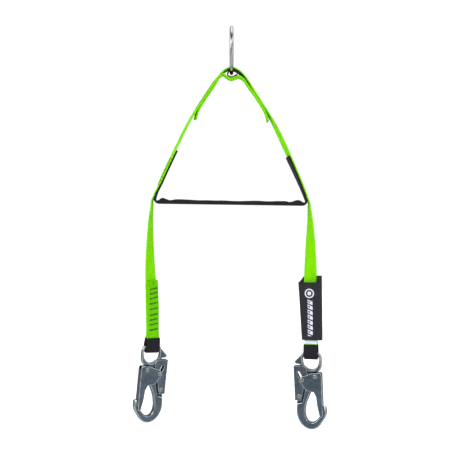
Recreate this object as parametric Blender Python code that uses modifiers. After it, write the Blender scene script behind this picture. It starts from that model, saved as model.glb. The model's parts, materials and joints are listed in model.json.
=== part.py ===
"""Two-leg webbing lanyard with a top ring, a spreader bar and two double-locking snap hooks.

Metres, +Z up, +X to the right leg. The origin is the inside top of the ring, where it hangs.
The straps lie in the XZ plane. Each hook is built once in its own plane, its origin at the
middle of its eye's top bar, and is hung on its leg by an empty.
"""
import math

import bmesh
import bpy
from mathutils import Matrix, Vector

MM = 0.001
GAP = 0.3 * MM                    # left between pieces that touch

# ring
RING_WIRE = 7.6 * MM
RING_RADIUS = 42.4 * MM           # to the middle of the wire
YOKE_PIVOT_Z = -80.06 * MM        # middle of the bent stretch of wire that the straps hang on

# webbing
WEB_WIDTH = 25.0 * MM
WEB_THICK = 2.8 * MM
PAD_THICK = 1.0 * MM
YOKE_ROLL = math.radians(14)      # how far the yoke's straps lean, half-way down
YOKE_HALF = [(0, -72.2), (12, -76.8), (25, -88.4), (43, -116), (77, -171.5), (109, -238),
             (134, -294), (148, -329.5)]
YOKE_REACH = 148.0 * MM           # from the ring to the end of YOKE_HALF
PAD_ROUTE = [(11, -84.4), (6.5, -87.6), (0, -90.1), (-6.4, -87.4), (-8.1, -83.8), (-6.5, -80),
             (-4.3, -75.9), (0, -74.4), (4.3, -75.7), (8, -77.2), (14, -81.1), (23.2, -89.6),
             (29.6, -98.6), (33.3, -104.4)]
KEEPER_SAG = [(0, -93.2), (7, -91.0), (14.2, -88.6)]
KEEPER_JOIN_X = 25 * MM           # where it closes up under the yoke strap
KEEPER_OFFSET = 4.8 * MM          # between strap centres beside the pad's tail
KEEPER_OFFSET_FAR = 3.1 * MM
KEEPER_END_X = 75.0 * MM
KEEPER_LIFT = 2.0 * MM            # its loose ends stand off the strap

# spreader bar, its caps and sleeve
BAR_SIZE = (242 * MM, 19 * MM, 3.0 * MM)
CAP_SIZE = (14 * MM, 22 * MM, 5.2 * MM)
SLEEVE_WALL = 1.2 * MM
SLEEVE_TALL = 8.6 * MM
SLEEVE_DEEP = 27.0 * MM
TAB_TALL = 3.2 * MM
TAB_DEEP = 25.6 * MM
TAB_TOP_Z = -236 * MM
CORNER_RADIUS = 3.6 * MM
SLEEVE_STEPS = [3, 5, 8, 12, 30, 60, 100]   # mm along the bar from each corner
SLEEVE_SWELL = 10                           # mm over which it swells round the bar's end

# legs, with each side's own corner, leg route, twist and start of its lap
SIDES = {
    "left": {"sign": -1, "corner": (-151.5, -325.5), "twist": 62, "twist_length": 205,
             "route": [(-151.5, -325.5), (-154.4, -430), (-151.2, -545), (-151.0, -585),
                       (-152.4, -604.8)], "lap_top": -475.5},
    "right": {"sign": 1, "corner": (148.2, -329.5), "twist": 73, "twist_length": 150,
              "route": [(148.2, -329.5), (149.8, -420), (150.6, -520), (151.5, -590),
                        (151.8, -617.3)], "lap_top": -482},
}
CORNER_SPACE = 1.2 * MM           # between a corner and the strap ends that meet there
LAP_OFFSET = 1.55 * MM            # of each layer in the sewn lap
LOOP_RADIUS = 7.85 * MM           # of the webbing's middle under the eye bar
LOOP_RISE = 34 * MM               # height over which the loop closes into the lap
LOOP_SLEEVE_RISE = 18.5 * MM
LOOP_SLEEVE_WALL = 0.8 * MM
LOOP_SLEEVE_DEEP = 27.1 * MM
LOOP_SLEEVE_TALL = 4.9 * MM

# label cover on the right leg, in the leg's own frame: across, towards the viewer, up
COVER_HALF = 21.5 * MM
COVER_BACK = -5.4 * MM
COVER_LIP = 3.7 * MM
COVER_LIP_WIDTH = 8.0 * MM
COVER_WALL = 1.0 * MM
FLAP_FRONT = 6.9 * MM
TAPE_THICK = 0.6 * MM
COVER_BASE = 27.5 * MM            # above the eye bar
COVER_BACK_TALL = 122 * MM
FLAP_TALL = 110 * MM
LABEL_WIDTH = 24.5 * MM
LABEL_THICK = 0.6 * MM

# snap hook, in mm in its own plane: x towards the gate, z up
EYE_THICK, WEB_PLATE_THICK, BOW_THICK = 8.0, 6.4, 12.4
EYE_OUTER = [(0, 4.0), (10, 3.9), (16.5, 2.2), (20.0, -3.5), (20.6, -14), (19.6, -26), (15, -32.4),
             (7.5, -34.4), (0, -34.8), (-8, -34.2), (-16, -31.2), (-20.2, -24), (-20.6, -14),
             (-20.0, -3.5), (-16.5, 2.2), (-10, 3.9)]
EYE_HOLE = [(0, -4.0), (13.2, -4.2), (15.2, -6.6), (15.0, -14), (12.2, -22.5), (6.5, -27.4),
            (0, -28.6), (-6.5, -27.4), (-12.2, -22.5), (-15.0, -14), (-15.2, -6.6), (-13.2, -4.2)]
WEB_OUTLINE = [(-18.5, -1.2), (-32.2, -14.6), (-30.8, -19.2), (-17.5, -20.6), (-16.2, -34),
               (-10.5, -40), (-9.5, -50), (-13, -57), (-21, -61), (-26.2, -68), (-27, -80),
               (-28.2, -96), (-10, -96), (0, -72), (9, -60), (16.2, -46), (17, -36), (0, -30),
               (-15.5, -21), (-17.8, -8)]
BOW_OUTLINE = [(-11.5, -64), (-14.6, -80), (-17.6, -91.5), (-28.3, -94), (-28.6, -113),
               (-25.4, -124.5), (-15, -138), (-1, -143.2), (11.5, -139.5), (21.5, -127.5),
               (28.3, -115.5), (29.4, -107), (27.8, -99), (25.6, -97.4), (24.0, -99),
               (22.6, -106.5), (15.8, -117.4), (12.4, -121.6), (8, -126.2), (3, -128.8),
               (-3, -128.8), (-8, -124.2), (-11, -114), (-10.6, -103), (-7.6, -90), (-1, -75),
               (3.5, -66), (2, -62)]
BOW_ROUND = [*range(6, 19), *range(21, 26)]   # joined by a curve; the seat's two ends aren't
GATE_PIVOT = (8.6, -41.0)
CATCH_PIN = (-17.3, -49.0)
LEVER_PIVOT = (-22.2, -80.5)
GATE_INSIDE, GATE_OUTSIDE, GATE_BACK = 13.4, 17.0, 1.8
GATE_OUTLINE = [(-22.4, -51), (-21.2, -45.6), (-16.5, -42.6), (-3, -38.2), (2.5, -35.2),
                (18.4, -34.6), (20.4, -36.4), (22.1, -96), (22.5, -112), (21.4, -117.4),
                (19.2, -118.6), (16.6, -117), (12.2, -98), (10.0, -80), (5.3, -71.2),
                (-8.4, -68.6), (-18.5, -56.4)]
GATE_BACK_TOP, GATE_BACK_END = -41.0, -96.4
LEVER_INSIDE, LEVER_OUTSIDE, LEVER_BACK = 9.8, 12.6, 1.4
LEVER_OUTLINE = [(-33.4, -22.6), (-15, -23.0), (-9.4, -25.6), (-7.0, -31), (-8.2, -41),
                 (-11.5, -56), (-15.0, -68), (-17.0, -80), (-19.6, -88.2), (-31.0, -89.2)]
SLOT_ENDS = [(-17.3, -49.3), (-24.0, -36.0)]
SLOT_RADIUS, PIN_RADIUS, RIVET_RADIUS = 3.0, 2.5, 3.0
RIVET_HEAD, RIVET_HEAD_TALL = 4.6, 1.7
RIVET_ROOM = 0.35

parts = bpy.data.collections.new("spreader_lanyard")
cutters = bpy.data.collections.new("cutters")


def clear_scene():
    for obj in list(bpy.data.objects):
        bpy.data.objects.remove(obj, do_unlink=True)
    bpy.context.scene.collection.children.link(parts)
    bpy.context.scene.collection.children.link(cutters)


def finish(name, colour, roughness, metallic=0.0):
    """A plain Principled material."""
    material = bpy.data.materials.new(name)
    material.use_nodes = True
    shader = material.node_tree.nodes["Principled BSDF"]
    shader.inputs["Base Color"].default_value = (*colour, 1)
    shader.inputs["Roughness"].default_value = roughness
    shader.inputs["Metallic"].default_value = metallic
    return material


def flat(point):
    """A point of the strap's plane, given in mm."""
    return Vector((point[0], 0, point[1])) * MM


def file_object(name, data, material, parent=None):
    """Name a part, give it its finish and hang it on its empty without moving it."""
    obj = bpy.data.objects.new(name, data)
    parts.objects.link(obj)
    data.materials.append(material)
    if parent:
        obj.parent = parent
        obj.matrix_parent_inverse = parent.matrix_world.inverted()
    return obj


def empty(name, matrix, parent=None):
    obj = bpy.data.objects.new(name, None)
    parts.objects.link(obj)
    if parent:
        obj.parent = parent
        obj.matrix_parent_inverse = parent.matrix_world.inverted()
    obj.matrix_world = matrix
    bpy.context.view_layer.update()
    return obj


def from_bmesh(name, bm, material, parent=None):
    bmesh.ops.recalc_face_normals(bm, faces=bm.faces[:])
    mesh = bpy.data.meshes.new(name)
    bm.to_mesh(mesh)
    bm.free()
    return file_object(name, mesh, material, parent)


def thicken(obj, thickness, offset):
    wall = obj.modifiers.new("wall", "SOLIDIFY")
    wall.thickness = thickness
    wall.offset = offset


# straps

def through(points, steps):
    """A smooth line through the points, with its direction at each place on it."""
    line = []
    ends = [points[0] * 2 - points[1], *points, points[-1] * 2 - points[-2]]
    for a, b, c, d in zip(ends, ends[1:], ends[2:], ends[3:]):
        for i in range(steps):
            t = i / steps
            place = (b * 2 + (c - a) * t + (a * 2 - b * 5 + c * 4 - d) * t**2
                     + (b * 3 - a - c * 3 + d) * t**3) / 2
            way = (c - a) / 2 + (a * 2 - b * 5 + c * 4 - d) * t + (b * 3 - a - c * 3 + d) * 1.5 * t**2
            line.append((place, way.normalized()))
    line.append((points[-1], (points[-1] - points[-2]).normalized()))
    return line


def yoke_frame(place, way):
    """Place, direction across the strap and outward normal, with the yoke's lean."""
    roll = -YOKE_ROLL * math.sin(math.pi * max(-1, min(1, place.x / YOKE_REACH)))
    level, out = Vector((0, 1, 0)), Vector((-way.z, 0, way.x))
    across = level * math.cos(roll) + out * math.sin(roll)
    return place, across, out * math.cos(roll) - level * math.sin(roll)


def yoke_points():
    """The yoke strap's middle, from the left corner over the ring to the right corner."""
    top, end = YOKE_HALF[0][1], YOKE_HALF[-1]
    halves = {}
    for side, spec in SIDES.items():
        wide, deep = spec["corner"][0] / end[0], (spec["corner"][1] - top) / (end[1] - top)
        halves[side] = [flat((x * wide, top + (z - top) * deep)) for x, z in YOKE_HALF]
    return halves["left"][:0:-1] + halves["right"]


def ribbon(name, frames, width, thickness, material, parent):
    """Webbing: a strip along the frames, given its thickness evenly both ways."""
    bm = bmesh.new()
    rows = [[bm.verts.new(place + across * width * half) for half in (-0.5, 0.5)]
            for place, across, _ in frames]
    for (a, b), (c, d) in zip(rows, rows[1:]):
        bm.faces.new((a, b, d, c))
    obj = from_bmesh(name, bm, material, parent)
    thicken(obj, thickness, 0)
    return obj


def flat_tube(name, frames, sizes, wall, material, parent):
    """Tubular webbing: a ring with cut corners at each frame, its wall turned inwards."""
    bm = bmesh.new()
    rings = []
    for (place, across, out), (wide, tall) in zip(frames, sizes):
        w, h, cut = wide / 2, tall / 2, 0.4 * MM
        corners = [(w, h - cut), (w - cut, h), (cut - w, h), (-w, h - cut),
                   (-w, cut - h), (cut - w, -h), (w - cut, -h), (w, cut - h)]
        rings.append([bm.verts.new(place + across * x + out * y) for x, y in corners])
    for first, second in zip(rings, rings[1:]):
        for i in range(len(first)):
            j = (i + 1) % len(first)
            bm.faces.new((first[i], first[j], second[j], second[i]))
    obj = from_bmesh(name, bm, material, parent)
    thicken(obj, wall, -1)
    return obj


def smooth(t):
    t = max(0.0, min(1.0, t))
    return t * t * (3 - 2 * t)


def make_ring(material):
    bpy.ops.mesh.primitive_torus_add(major_radius=RING_RADIUS, minor_radius=RING_WIRE / 2,
                                     major_segments=44, minor_segments=10,
                                     location=(0, 0, RING_WIRE / 2 - RING_RADIUS),
                                     rotation=(0, math.radians(90), 0))
    obj = bpy.context.object
    obj.name = "top_ring"
    for collection in list(obj.users_collection):
        collection.objects.unlink(obj)
    parts.objects.link(obj)
    obj.data.materials.append(material)


def keeper_frames(yoke):
    """The keeper strap: sagging under the ring, then close inside the yoke strap."""
    sides = {}
    for side, spec in SIDES.items():
        sign = spec["sign"]
        points = [flat((x * sign, z)) for x, z in KEEPER_SAG[:0:-1]][::-1]
        for place, _, out in yoke:
            reach = place.x * sign
            if KEEPER_JOIN_X < reach < KEEPER_END_X:
                taper = smooth((reach - 34 * MM) / (14 * MM))
                lift = KEEPER_LIFT * smooth((reach - KEEPER_END_X + 12 * MM) / (12 * MM))
                offset = KEEPER_OFFSET + (KEEPER_OFFSET_FAR - KEEPER_OFFSET) * taper + lift
                points.append(place - Vector((out.x, 0, out.z)).normalized() * offset)
        sides[side] = sorted(points, key=lambda p: p.x * sign)
    middle = [flat(KEEPER_SAG[0])]
    line = through(sides["left"][::-1] + middle + sides["right"], 2)
    return [yoke_frame(place, way) for place, way in line]


def make_yoke(yoke, web, dark, parent):
    corners = {spec["sign"]: spec["corner"][1] * MM + CORNER_SPACE for spec in SIDES.values()}
    strap = [frame for frame in yoke if frame[0].z > corners[1 if frame[0].x > 0 else -1]]
    ribbon("yoke_strap", strap, WEB_WIDTH, WEB_THICK, web, parent)
    ribbon("keeper_strap", keeper_frames(yoke), WEB_WIDTH, WEB_THICK, web, parent)
    pad = [yoke_frame(*at) for at in through([flat(p) for p in PAD_ROUTE], 3)]
    ribbon("ring_wear_pad", pad, WEB_WIDTH, PAD_THICK, dark, parent)


def corner_arc(tab_end, heading_out, bar_end, sign):
    """Points of the tight turn from a tab to the bar."""
    middle = Vector((tab_end.x - sign * CORNER_RADIUS, 0, bar_end.z + CORNER_RADIUS))
    start = math.atan2(heading_out.z, sign * heading_out.x)
    turns = [start + (-math.pi / 2 - start) * i / 6 for i in range(7)]
    return [middle + Vector((sign * math.cos(t), 0, math.sin(t))) * CORNER_RADIUS for t in turns]


def sleeve_route(yoke):
    """Middle line of the bar's sleeve from one tab's top to the other, with its sizes."""
    route = []
    gap = WEB_THICK / 2 + GAP + TAB_TALL / 2
    (left_x, left_z), (right_x, right_z) = (SIDES[side]["corner"] for side in ("left", "right"))
    fall = (right_z - left_z) / (right_x - left_x)
    for side, spec in SIDES.items():
        sign, (x, z) = spec["sign"], spec["corner"]
        bar_end = flat((x - sign * 12, z - 0.6))
        tab = [(place - out * gap, across, out) for place, across, out in yoke
               if place.x * sign > 0 and z * MM + 6.5 * MM < place.z < TAB_TOP_Z]
        tab.sort(key=lambda frame: -frame[0].z)
        out = tab[-1][2]
        arc = corner_arc(tab[-1][0], out, bar_end, sign)
        level, down = Vector((0, 1, 0)), Vector((0, 0, -1))
        middle = arc[-1] - down * CORNER_RADIUS
        turn = [(p, level, (p - middle).normalized()) for p in arc]
        inward = [(arc[-1] - Vector((1, 0, fall)) * sign * d * MM, level, down) for d in SLEEVE_STEPS]
        sizes = [(TAB_DEEP, TAB_TALL)] * (len(tab) + len(turn))
        swell = [smooth(d / SLEEVE_SWELL) for d in SLEEVE_STEPS]
        sizes += [(TAB_DEEP + (SLEEVE_DEEP - TAB_DEEP) * s, TAB_TALL + (SLEEVE_TALL - TAB_TALL) * s)
                  for s in swell]
        half = list(zip(tab + turn + inward, sizes))
        route = half if side == "left" else route + half[::-1]
    return route


def make_spreader(yoke, dark, steel, plastic, parent):
    route = sleeve_route(yoke)
    frames, sizes = [frame for frame, _ in route], [size for _, size in route]
    flat_tube("spreader_sleeve", frames, sizes, SLEEVE_WALL, dark, parent)
    level = [p for (p, _, _), size in route if size[1] == SLEEVE_TALL]
    first, last = level[0], level[-1]
    middle, slope = (first + last) / 2, math.atan2(first.z - last.z, last.x - first.x)
    tilt = Matrix.Translation(middle) @ Matrix.Rotation(slope, 4, "Y")
    box("spreader_bar", tilt, BAR_SIZE, steel, parent)
    for name, sign in (("left_bar_cap", -1), ("right_bar_cap", 1)):
        seat = Matrix.Translation((sign * (BAR_SIZE[0] / 2 - 2 * MM), 0, 0))
        cap = box(name, tilt @ seat, CAP_SIZE, plastic, parent)
        pocket = [size + 2 * GAP for size in BAR_SIZE]
        cut(cap, box(name + "_pocket", tilt, pocket, plastic, parent, cutters))


def box(name, matrix, size, material, parent, collection=parts):
    """A cube brought to size in its mesh, with its edges broken when it is a part."""
    bm = bmesh.new()
    bmesh.ops.create_cube(bm, size=1)
    bmesh.ops.scale(bm, vec=size, verts=bm.verts)
    mesh = bpy.data.meshes.new(name)
    bm.to_mesh(mesh)
    bm.free()
    obj = bpy.data.objects.new(name, mesh)
    collection.objects.link(obj)
    mesh.materials.append(material)
    obj.parent = parent
    obj.matrix_parent_inverse = parent.matrix_world.inverted()
    obj.matrix_world = matrix
    return obj


def cut(obj, cutter, operation="DIFFERENCE"):
    cutter.hide_render = True
    cutter.display_type = "WIRE"
    boolean = obj.modifiers.new(operation.lower(), "BOOLEAN")
    boolean.operation = operation
    boolean.object = cutter


# legs

def leg_frame(spec, place, way):
    """Frame of a leg: it leaves the corner edge-on and twists to face forwards at its loop."""
    drop = (spec["corner"][1] * MM - place.z) / (spec["twist_length"] * MM)
    turn = math.radians(spec["twist"]) * max(0.0, min(1.0, drop))
    across = Vector((spec["sign"] * math.sin(turn), -math.cos(turn), 0))
    across = (across - way * across.dot(way)).normalized()
    return place, across, way.cross(across) * spec["sign"]


def leg_line(spec):
    return [leg_frame(spec, place, way) for place, way in through([flat(p) for p in spec["route"]], 10)]


def loop_frame(frames):
    """The eye bar's frame: its middle, its direction, the way to the viewer, and up."""
    place, across, out = frames[-1]
    up = out.cross(across)
    return place, across, out, up if up.z > 0 else -up


def spread(height):
    """How far each layer stands from the leg's middle at a height above the eye bar."""
    return LAP_OFFSET + (LOOP_RADIUS - LAP_OFFSET) * (1 - smooth(height / LOOP_RISE))


def bend_frames(loop, steps=12):
    middle, across, out, up = loop
    turns = [math.pi * i / steps for i in range(steps + 1)]
    ways = [-out * math.cos(t) - up * math.sin(t) for t in turns]
    return [(middle + way * LOOP_RADIUS, across, way) for way in ways]


def layer(frames, side, top, base=0.0):
    """One layer of a leg beside its middle line, between two heights, from the top down."""
    bar = frames[-1][0].z
    return [(p + n * side * spread(p.z - bar), a, n * side) for p, a, n in frames
            if p.z <= top and base < p.z - bar]


def make_leg(side, web, dark, parent):
    spec = SIDES[side]
    frames = leg_line(spec)
    loop = loop_frame(frames)
    corner = spec["corner"][1] * MM
    down = layer(frames, -1, corner - CORNER_SPACE, 3 * MM)
    start = Vector(frames[0][0]) - Vector((0, 0, CORNER_SPACE))
    eased = []
    for place, across, out in down:
        ease = smooth((corner - place.z) / (40 * MM))
        middle = place - out * LAP_OFFSET * (1 - ease)
        eased.append((middle, across, out))
    up = layer(frames, 1, spec["lap_top"] * MM, 3 * MM)[::-1]
    ribbon(f"{side}_leg_strap", [(start, frames[0][1], -frames[0][2])] + eased + bend_frames(loop) + up,
           WEB_WIDTH, WEB_THICK, web, parent)
    short = loop[0].z + LOOP_SLEEVE_RISE
    near = layer(frames, -1, short, 3 * MM) + bend_frames(loop) + layer(frames, 1, short, 3 * MM)[::-1]
    flat_tube(f"{side}_loop_sleeve", near, [(LOOP_SLEEVE_DEEP, LOOP_SLEEVE_TALL)] * len(near),
              LOOP_SLEEVE_WALL, dark, parent)
    return frames, loop


# label cover

def panel(name, frame, outline, base, tall, wall, material, parent):
    """A fabric panel: a line across the leg raised to a height and given its thickness."""
    middle, across, out, up = frame
    bm = bmesh.new()
    rows = [[bm.verts.new(middle + across * x + out * y + up * z) for z in (base, base + tall)]
            for x, y in outline]
    for (a, b), (c, d) in zip(rows, rows[1:]):
        bm.faces.new((a, c, d, b))
    obj = from_bmesh(name, bm, material, parent)
    thicken(obj, wall, 0)
    return obj


def make_cover(frames, loop, dark, tape, paper, parent, flap_parent):
    side, lip = COVER_HALF, COVER_HALF - COVER_LIP_WIDTH
    back = [(-side, FLAP_FRONT - 2 * MM), (-side, COVER_BACK), (side, COVER_BACK), (side, COVER_LIP),
            (lip, COVER_LIP)]
    panel("label_cover", loop, back, COVER_BASE, COVER_BACK_TALL, COVER_WALL, dark, parent)
    panel("label_cover_flap", loop, [(-side, FLAP_FRONT), (side, FLAP_FRONT)], COVER_BASE, FLAP_TALL,
          COVER_WALL, dark, flap_parent)
    strip = [lip + 0.8 * MM, side - 1.0 * MM]
    lip_face = COVER_LIP + COVER_WALL / 2 + TAPE_THICK / 2 + GAP
    flap_face = FLAP_FRONT - COVER_WALL / 2 - TAPE_THICK / 2 - GAP
    for name, face, holder in (("cover_hook_tape", lip_face, parent),
                               ("cover_loop_tape", flap_face, flap_parent)):
        panel(name, loop, [(x, face) for x in strip], COVER_BASE + 6 * MM, FLAP_TALL - 12 * MM,
              TAPE_THICK, tape, holder)
    bar = loop[0].z
    rise = WEB_THICK / 2 + GAP + LABEL_THICK / 2
    label = [(p + n * rise, a, n) for p, a, n in layer(frames, 1, bar + 120 * MM, 19.5 * MM)]
    ribbon("label_booklet", label, LABEL_WIDTH, LABEL_THICK, paper, parent)


# snap hooks

def outline_plate(name, points, thickness, material, parent, rounded=(), bevel=0.0, hole=(),
                  collection=parts, shift=(0, 0), y=0.0):
    """A plate cut to an outline in the hook's plane; the rounded points are joined smoothly."""
    curve = bpy.data.curves.new(name, "CURVE")
    curve.dimensions = "2D"
    curve.fill_mode = "BOTH"
    curve.resolution_u = 3
    curve.render_resolution_u = 0
    curve.extrude = (thickness / 2 - bevel) * MM
    curve.bevel_depth = bevel * MM
    curve.bevel_resolution = 0
    curve.offset = -bevel * MM
    for ring, soft in ((points, rounded), (hole, range(len(hole)))):
        if not ring:
            continue
        spline = curve.splines.new("BEZIER")
        spline.bezier_points.add(len(ring) - 1)
        spline.use_cyclic_u = True
        for i, (knot, (x, z)) in enumerate(zip(spline.bezier_points, ring)):
            knot.co = ((x - shift[0]) * MM, (z - shift[1]) * MM, 0)
            kind = "AUTO" if i in soft else "VECTOR"
            knot.handle_left_type = knot.handle_right_type = kind
    draft = bpy.data.objects.new(name + "_draft", curve)
    bpy.context.scene.collection.objects.link(draft)
    bpy.context.view_layer.update()
    evaluated = draft.evaluated_get(bpy.context.evaluated_depsgraph_get())
    mesh = bpy.data.meshes.new_from_object(evaluated)
    bpy.data.objects.remove(draft)
    bpy.data.curves.remove(curve)
    bm = bmesh.new()
    bm.from_mesh(mesh)
    bmesh.ops.remove_doubles(bm, verts=bm.verts, dist=0.002 * MM)
    bmesh.ops.rotate(bm, verts=bm.verts, matrix=Matrix.Rotation(math.radians(90), 3, "X"))
    bmesh.ops.translate(bm, verts=bm.verts, vec=(0, y * MM, 0))
    bmesh.ops.recalc_face_normals(bm, faces=bm.faces[:])
    bm.to_mesh(mesh)
    bm.free()
    mesh.materials.clear()
    mesh.materials.append(material)
    obj = bpy.data.objects.new(name, mesh)
    collection.objects.link(obj)
    obj.parent = parent
    return obj


def rod(name, at, radius, parent):
    """A round cutter right through the hook."""
    bm = bmesh.new()
    bmesh.ops.create_cone(bm, cap_ends=True, segments=16, radius1=radius * MM, radius2=radius * MM,
                          depth=40 * MM)
    mesh = bpy.data.meshes.new(name)
    bm.to_mesh(mesh)
    bm.free()
    obj = bpy.data.objects.new(name, mesh)
    cutters.objects.link(obj)
    obj.parent = parent
    obj.location = (at[0] * MM, 0, at[1] * MM)
    obj.rotation_euler = (math.radians(90), 0, 0)
    return obj


def turned(name, at, radius, inside, material, parent):
    """A rivet: shank and two domed heads, as one turned profile."""
    half, head, tall = inside / 2, RIVET_HEAD, RIVET_HEAD_TALL
    top = [(0, half + tall), (head * 0.62, half + tall), (head, half + tall * 0.45), (head, half),
           (radius, half)]
    profile = top + [(x, -y) for x, y in top[::-1]]
    bm = bmesh.new()
    knots = [bm.verts.new((x * MM, 0, y * MM)) for x, y in profile]
    for a, b in zip(knots, knots[1:]):
        bm.edges.new((a, b))
    mesh = bpy.data.meshes.new(name)
    bm.to_mesh(mesh)
    bm.free()
    mesh.materials.append(material)
    obj = bpy.data.objects.new(name, mesh)
    parts.objects.link(obj)
    turn = obj.modifiers.new("turn", "SCREW")
    turn.steps = turn.render_steps = 14
    turn.use_merge_vertices = True
    turn.merge_threshold = 0.00001
    obj.parent = parent
    obj.location = (at[0] * MM, 0, at[1] * MM)
    obj.rotation_euler = (math.radians(90), 0, 0)
    return obj


def wire(name, points, radius, material, parent):
    """A bent spring wire."""
    curve = bpy.data.curves.new(name, "CURVE")
    curve.dimensions = "3D"
    curve.bevel_depth = radius * MM
    curve.bevel_resolution = 1
    curve.use_fill_caps = True
    curve.render_resolution_u = 0
    spline = curve.splines.new("POLY")
    spline.points.add(len(points) - 1)
    for knot, point in zip(spline.points, points):
        knot.co = (*(Vector(point) * MM), 1)
    curve.materials.append(material)
    obj = bpy.data.objects.new(name, curve)
    parts.objects.link(obj)
    obj.parent = parent


def channel(name, outline, pivot, inside, outside, hollow, material, parent):
    """A pressed U-channel: a solid outline with the room between its side plates cut out."""
    solid = outline_plate(name, outline, outside, material, parent, shift=pivot)
    room = outline_plate(name + "_room", hollow, inside, material, parent, shift=pivot,
                         collection=cutters)
    cut(solid, room)
    return solid


def make_hook(side, loop, zinc, pin_steel, spring_steel, leg):
    middle, across, out, up = loop
    hang = Matrix((across, up.cross(across), up)).transposed().to_4x4()
    hook = empty(f"{side}_hook_swing", Matrix.Translation(middle) @ hang, leg)
    body = outline_plate(f"{side}_hook_body", EYE_OUTER, EYE_THICK, zinc, hook,
                         rounded=range(len(EYE_OUTER)), bevel=2.2, hole=EYE_HOLE)
    web = outline_plate(f"{side}_web", WEB_OUTLINE, WEB_PLATE_THICK, zinc, hook, rounded=(4, 5, 6, 7, 8),
                        collection=cutters)
    bow = outline_plate(f"{side}_bow", BOW_OUTLINE, BOW_THICK, zinc, hook,
                        rounded=BOW_ROUND, bevel=1.4, collection=cutters)
    cut(body, web, "UNION")
    cut(body, bow, "UNION")
    for name, at in (("gate_hole", GATE_PIVOT), ("lever_hole", LEVER_PIVOT)):
        cut(body, rod(f"{side}_{name}", at, RIVET_RADIUS + RIVET_ROOM, hook))
    turned(f"{side}_gate_rivet", GATE_PIVOT, RIVET_RADIUS, GATE_OUTSIDE + 2 * RIVET_ROOM, pin_steel, hook)
    turned(f"{side}_lever_rivet", LEVER_PIVOT, RIVET_RADIUS, LEVER_OUTSIDE + 2 * RIVET_ROOM, pin_steel,
           hook)
    make_gate(side, hook, zinc, pin_steel)
    make_lever(side, hook, zinc)
    make_springs(side, hook, spring_steel)


def pivot_empty(name, at, hook):
    place = hook.matrix_world @ Matrix.Translation((at[0] * MM, 0, at[1] * MM))
    return empty(name, place, hook)


def make_gate(side, hook, zinc, pin_steel):
    pivot = pivot_empty(f"{side}_gate_open", GATE_PIVOT, hook)
    back = [(20.5 - GATE_BACK, GATE_BACK_TOP), (22.1 - GATE_BACK, GATE_BACK_END)]
    hollow = [(-40, -20), (40, -20), (40, GATE_BACK_TOP), back[0], back[1], (40, GATE_BACK_END),
              (40, -130), (-40, -130)]
    gate = channel(f"{side}_gate", GATE_OUTLINE, GATE_PIVOT, GATE_INSIDE, GATE_OUTSIDE, hollow, zinc,
                   pivot)
    tail = (CATCH_PIN[0] - GATE_PIVOT[0], CATCH_PIN[1] - GATE_PIVOT[1])
    cut(gate, rod(f"{side}_gate_pivot_hole", (0, 0), RIVET_RADIUS + RIVET_ROOM, pivot))
    cut(gate, rod(f"{side}_pin_hole", tail, PIN_RADIUS + 0.15, pivot))
    turned(f"{side}_catch_pin", tail, PIN_RADIUS, GATE_OUTSIDE + 2 * RIVET_ROOM, pin_steel, pivot)


def make_lever(side, hook, zinc):
    pivot = pivot_empty(f"{side}_lever_press", LEVER_PIVOT, hook)
    hollow = [(-33.4 + LEVER_BACK, -10), (10, -10), (10, -100), (-31.0 + LEVER_BACK, -100)]
    lever = channel(f"{side}_lock_lever", LEVER_OUTLINE, LEVER_PIVOT, LEVER_INSIDE, LEVER_OUTSIDE, hollow,
                    zinc, pivot)
    cut(lever, rod(f"{side}_lever_pivot_hole", (0, 0), RIVET_RADIUS + RIVET_ROOM, pivot))
    cut(lever, outline_plate(f"{side}_slot", capsule(*SLOT_ENDS, SLOT_RADIUS), 40, zinc, pivot,
                             shift=LEVER_PIVOT, collection=cutters))


def capsule(first, last, radius, steps=6):
    """The outline of a slot with round ends."""
    way = math.atan2(last[1] - first[1], last[0] - first[0])
    points = []
    for centre, start in ((last, way - math.pi / 2), (first, way + math.pi / 2)):
        for i in range(steps + 1):
            turn = start + math.pi * i / steps
            points.append((centre[0] + radius * math.cos(turn), centre[1] + radius * math.sin(turn)))
    return points


def make_springs(side, hook, steel):
    x, z = GATE_PIVOT
    turns, around, mean, level, pitch = 2.25, 12, 5.3, -3.95, 0.95
    coil = [(x + mean * math.cos(t), level - pitch * t / math.tau, z + mean * math.sin(t))
            for t in (math.tau * i / around for i in range(int(turns * around) + 1))]
    first, last = [(x + mean, level, z - 14)], [(x - 15, coil[-1][1], coil[-1][2])]
    wire(f"{side}_gate_spring", first + coil[:-1] + last, 0.4, steel, hook)
    start, length, windings, radius = -30.6, 12.4, 5, 3.0
    steps = windings * 10
    push = [(start + length * i / steps, radius * math.cos(math.tau * i / 10),
             -29.6 + radius * math.sin(math.tau * i / 10)) for i in range(steps + 1)]
    wire(f"{side}_lever_spring", push, 0.5, steel, hook)


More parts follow.
